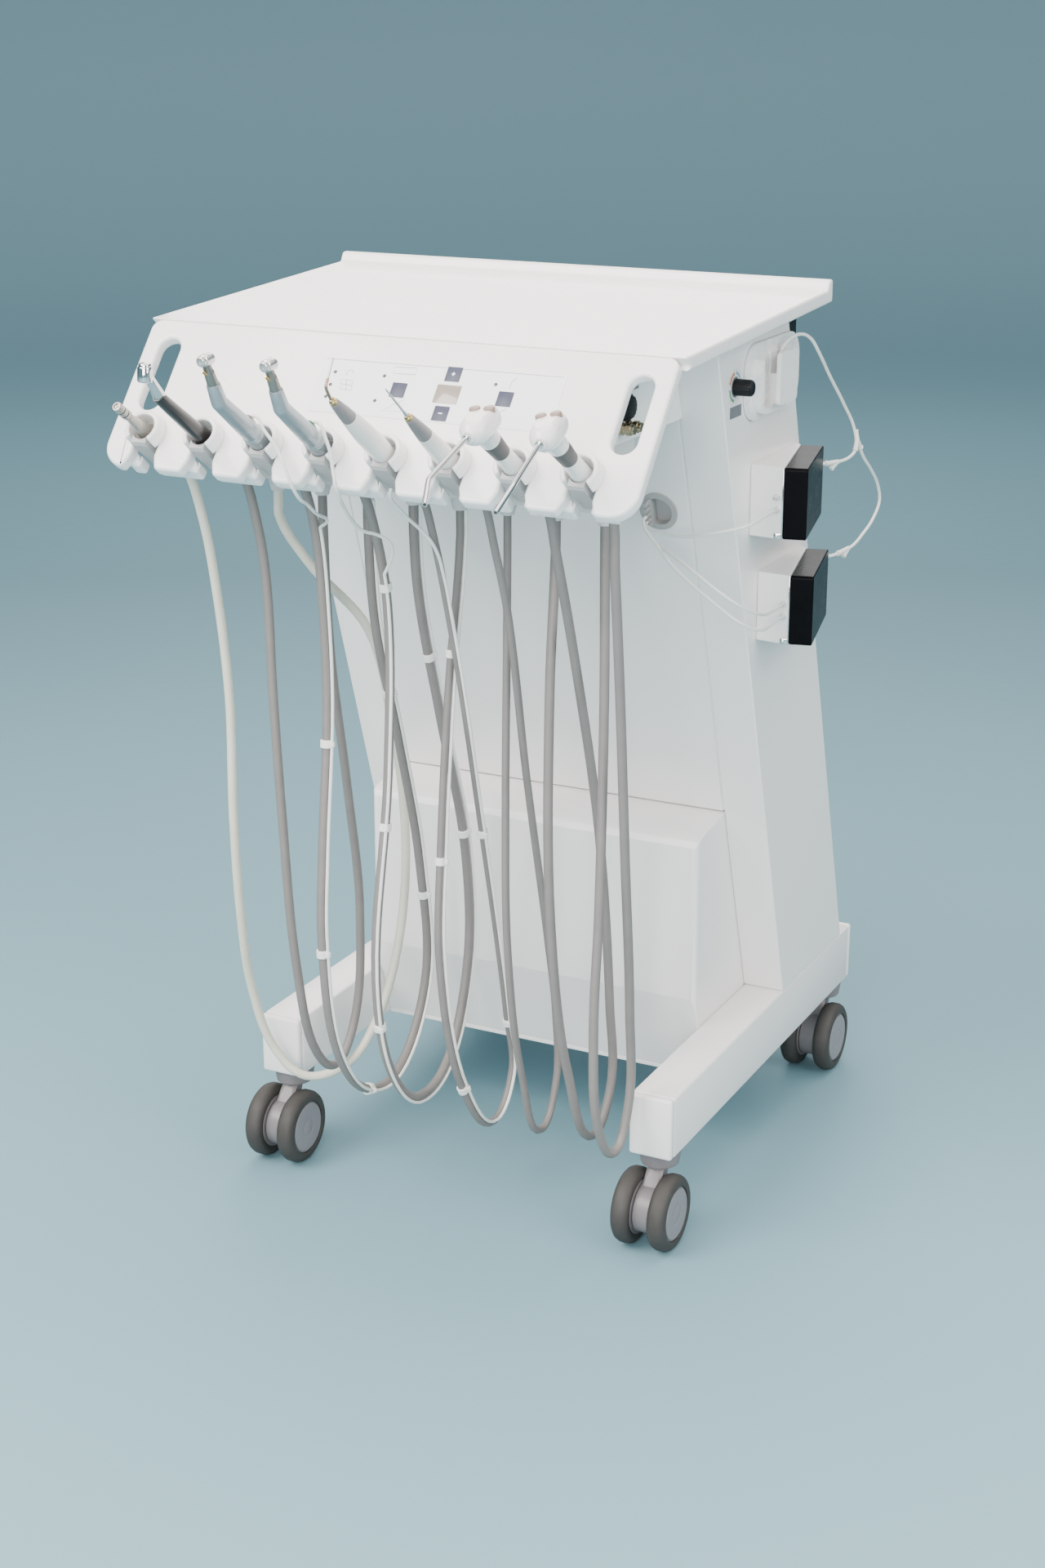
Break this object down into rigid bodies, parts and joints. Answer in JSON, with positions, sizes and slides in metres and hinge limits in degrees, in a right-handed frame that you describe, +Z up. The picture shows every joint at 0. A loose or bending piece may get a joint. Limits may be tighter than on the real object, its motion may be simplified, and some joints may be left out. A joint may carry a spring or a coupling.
{
  "type": "portable dental unit",
  "caption": "Mobile dental cart: leaning white cabinet on castored beams, worktop, sloping console with hanging instruments on hoses, and irrigation pumps.",
  "frame": {"origin": "middle of the cart's footprint on the floor, instruments included and hoses left out", "axes": "+X to the user's right, +Y away from the user towards the back of the cart, +Z up"},
  "size_m": [0.5224, 0.8213, 0.8558],
  "materials": {
    "white_paint": "satin white powder coat, slightly warm",
    "white_gloss": "smooth white moulded plastic",
    "keypad_white": "white membrane with slate-blue keys and a grey window",
    "fork_grey": "light grey moulded plastic",
    "collar_grey": "pale grey plastic collars",
    "hose_grey": "satin grey silicone hose",
    "thin_tube": "milky thin tube",
    "black_plastic": "black moulded plastic",
    "castor_grey": "mauve-grey nylon",
    "tyre_grey": "dark grey tread",
    "rotor_grey": "pale grey acetal with steel rollers",
    "brass": "brass, partly chromed",
    "inner_metal": "plain aluminium",
    "coupling_satin": "satin metal, warm",
    "handle_black": "black coated handle, chrome neck and head",
    "steel_satin": "blue-silver satin steel",
    "scaler_white": "off-white handle with a mauve-grey nose",
    "syringe_white": "white faceted head, dark band on the handle",
    "button_bronze": "bronze-pink buttons",
    "chrome": "polished chrome"
  },
  "bodies": {
    "cart": {"left_beam": "white_paint", "right_beam": "white_paint", "base_plate": "white_paint", "left_column": "white_paint", "right_column": "white_paint", "front_panel": "white_paint", "lower_cover": "white_paint", "rear_panel": "white_paint", "worktop": "white_gloss", "console_plate": "white_gloss", "console_box": "white_gloss", "hose_manifold": "collar_grey", "control_panel": "keypad_white", "holder_rings": "white_gloss", "holder_forks": "fork_grey", "pump_housings": "white_paint", "tube_pocket": "white_gloss", "tube_grommet": "fork_grey", "air_connectors": "brass", "rear_bracket": "black_plastic", "inner_units": "inner_metal", "hose_1": "hose_grey", "hose_2": "hose_grey", "hose_3": "hose_grey", "hose_4": "hose_grey", "hose_5": "hose_grey", "hose_6": "hose_grey", "hose_7": "hose_grey", "hose_8": "hose_grey", "spray_tubes": "thin_tube", "irrigation_tubes": "thin_tube"},
    "side_knob_body": {"side_knob": "black_plastic"},
    "flow_knob_body": {"flow_knob": "black_plastic"},
    "upper_pump_cover_body": {"upper_pump_cover": "black_plastic"},
    "lower_pump_cover_body": {"lower_pump_cover": "black_plastic"},
    "upper_pump_rotor_body": {"upper_pump_rotor": "rotor_grey"},
    "lower_pump_rotor_body": {"lower_pump_rotor": "rotor_grey"},
    "front_left_castor_body": {"front_left_castor": "castor_grey"},
    "front_right_castor_body": {"front_right_castor": "castor_grey"},
    "rear_left_castor_body": {"rear_left_castor": "castor_grey"},
    "rear_right_castor_body": {"rear_right_castor": "castor_grey"},
    "front_left_wheels_body": {"front_left_wheels": "tyre_grey"},
    "front_right_wheels_body": {"front_right_wheels": "tyre_grey"},
    "rear_left_wheels_body": {"rear_left_wheels": "tyre_grey"},
    "rear_right_wheels_body": {"rear_right_wheels": "tyre_grey"},
    "air_coupling_body": {"air_coupling": "coupling_satin"},
    "turbine_handpiece_body": {"turbine_handpiece": "handle_black"},
    "contra_angle_1_body": {"contra_angle_1": "steel_satin"},
    "contra_angle_2_body": {"contra_angle_2": "steel_satin"},
    "scaler_1_body": {"scaler_1": "scaler_white"},
    "scaler_2_body": {"scaler_2": "scaler_white"},
    "syringe_1_body": {"syringe_1": "syringe_white"},
    "syringe_2_body": {"syringe_2": "syringe_white"},
    "syringe_1_air_button_body": {"syringe_1_air_button": "button_bronze"},
    "syringe_1_water_button_body": {"syringe_1_water_button": "button_bronze"},
    "syringe_2_air_button_body": {"syringe_2_air_button": "button_bronze"},
    "syringe_2_water_button_body": {"syringe_2_water_button": "button_bronze"},
    "syringe_1_nozzle_body": {"syringe_1_nozzle": "chrome"},
    "syringe_2_nozzle_body": {"syringe_2_nozzle": "chrome"}
  },
  "joints": [
    {"name": "front_left_swivel", "type": "hinge", "parent": "cart", "child": "front_left_castor_body", "pos_m": [-0.20722, -0.04835, 0.09], "axis": [0, 0, 1], "continuous": true},
    {"name": "front_left_roll", "type": "hinge", "parent": "front_left_castor_body", "child": "front_left_wheels_body", "pos_m": [-0.20722, -0.06835, 0.036], "axis": [1, 0, 0], "continuous": true},
    {"name": "front_right_swivel", "type": "hinge", "parent": "cart", "child": "front_right_castor_body", "pos_m": [0.18678, -0.04835, 0.09], "axis": [0, 0, 1], "continuous": true},
    {"name": "front_right_roll", "type": "hinge", "parent": "front_right_castor_body", "child": "front_right_wheels_body", "pos_m": [0.18678, -0.06835, 0.036], "axis": [1, 0, 0], "continuous": true},
    {"name": "rear_left_swivel", "type": "hinge", "parent": "cart", "child": "rear_left_castor_body", "pos_m": [-0.20722, 0.38565, 0.09], "axis": [0, 0, 1], "continuous": true},
    {"name": "rear_left_roll", "type": "hinge", "parent": "rear_left_castor_body", "child": "rear_left_wheels_body", "pos_m": [-0.20722, 0.36565, 0.036], "axis": [1, 0, 0], "continuous": true},
    {"name": "rear_right_swivel", "type": "hinge", "parent": "cart", "child": "rear_right_castor_body", "pos_m": [0.18678, 0.38565, 0.09], "axis": [0, 0, 1], "continuous": true},
    {"name": "rear_right_roll", "type": "hinge", "parent": "rear_right_castor_body", "child": "rear_right_wheels_body", "pos_m": [0.18678, 0.36565, 0.036], "axis": [1, 0, 0], "continuous": true},
    {"name": "air_coupling_lift", "type": "slide", "parent": "cart", "child": "air_coupling_body", "axis": [0, -0.8181, 0.575], "range_m": [0, 0.055]},
    {"name": "turbine_handpiece_lift", "type": "slide", "parent": "cart", "child": "turbine_handpiece_body", "axis": [0, -0.8181, 0.575], "range_m": [0, 0.055]},
    {"name": "contra_angle_1_lift", "type": "slide", "parent": "cart", "child": "contra_angle_1_body", "axis": [0, -0.8181, 0.575], "range_m": [0, 0.055]},
    {"name": "contra_angle_2_lift", "type": "slide", "parent": "cart", "child": "contra_angle_2_body", "axis": [0, -0.8181, 0.575], "range_m": [0, 0.055]},
    {"name": "scaler_1_lift", "type": "slide", "parent": "cart", "child": "scaler_1_body", "axis": [0, -0.8181, 0.575], "range_m": [0, 0.055]},
    {"name": "scaler_2_lift", "type": "slide", "parent": "cart", "child": "scaler_2_body", "axis": [0, -0.8181, 0.575], "range_m": [0, 0.055]},
    {"name": "syringe_1_lift", "type": "slide", "parent": "cart", "child": "syringe_1_body", "axis": [0, -0.8181, 0.575], "range_m": [0, 0.055]},
    {"name": "syringe_2_lift", "type": "slide", "parent": "cart", "child": "syringe_2_body", "axis": [0, -0.8181, 0.575], "range_m": [0, 0.055]},
    {"name": "syringe_1_air_press", "type": "slide", "parent": "syringe_1_body", "child": "syringe_1_air_button_body", "axis": [0.0677, 0.2524, -0.9652], "range_m": [0, 0.0015], "stiffness_N_per_m": 200},
    {"name": "syringe_1_water_press", "type": "slide", "parent": "syringe_1_body", "child": "syringe_1_water_button_body", "axis": [0.0677, 0.2524, -0.9652], "range_m": [0, 0.0015], "stiffness_N_per_m": 200},
    {"name": "syringe_1_nozzle_turn", "type": "hinge", "parent": "syringe_1_body", "child": "syringe_1_nozzle_body", "pos_m": [0.13095, -0.30724, 0.78865], "axis": [0.0796, -0.9657, -0.247], "continuous": true},
    {"name": "syringe_2_air_press", "type": "slide", "parent": "syringe_2_body", "child": "syringe_2_air_button_body", "axis": [0.1568, 0.2614, -0.9524], "range_m": [0, 0.0015], "stiffness_N_per_m": 200},
    {"name": "syringe_2_water_press", "type": "slide", "parent": "syringe_2_body", "child": "syringe_2_water_button_body", "axis": [0.1568, 0.2614, -0.9524], "range_m": [0, 0.0015], "stiffness_N_per_m": 200},
    {"name": "syringe_2_nozzle_turn", "type": "hinge", "parent": "syringe_2_body", "child": "syringe_2_nozzle_body", "pos_m": [0.19049, -0.30709, 0.78887], "axis": [0.1842, -0.9551, -0.2319], "continuous": true},
    {"name": "side_knob_turn", "type": "hinge", "parent": "cart", "child": "side_knob_body", "pos_m": [0.20778, 0.03228, 0.779], "axis": [1, 0, 0], "range_deg": [-135, 135]},
    {"name": "flow_knob_turn", "type": "hinge", "parent": "cart", "child": "flow_knob_body", "pos_m": [0.16878, -0.11335, 0.782], "axis": [1, 0, 0], "range_deg": [-135, 135]},
    {"name": "upper_cover_hinge", "type": "hinge", "parent": "cart", "child": "upper_pump_cover_body", "pos_m": [0.22805, 0.12628, 0.705], "axis": [0.2284, -0.9736, 0], "range_deg": [0, 100]},
    {"name": "upper_rotor_spin", "type": "hinge", "parent": "cart", "child": "upper_pump_rotor_body", "pos_m": [0.22776, 0.12621, 0.673], "axis": [0.9736, 0.2284, 0], "continuous": true},
    {"name": "lower_cover_hinge", "type": "hinge", "parent": "cart", "child": "lower_pump_cover_body", "pos_m": [0.22805, 0.15128, 0.603], "axis": [0.2284, -0.9736, 0], "range_deg": [0, 100]},
    {"name": "lower_rotor_spin", "type": "hinge", "parent": "cart", "child": "lower_pump_rotor_body", "pos_m": [0.22776, 0.15121, 0.571], "axis": [0.9736, 0.2284, 0], "continuous": true}
  ]
}
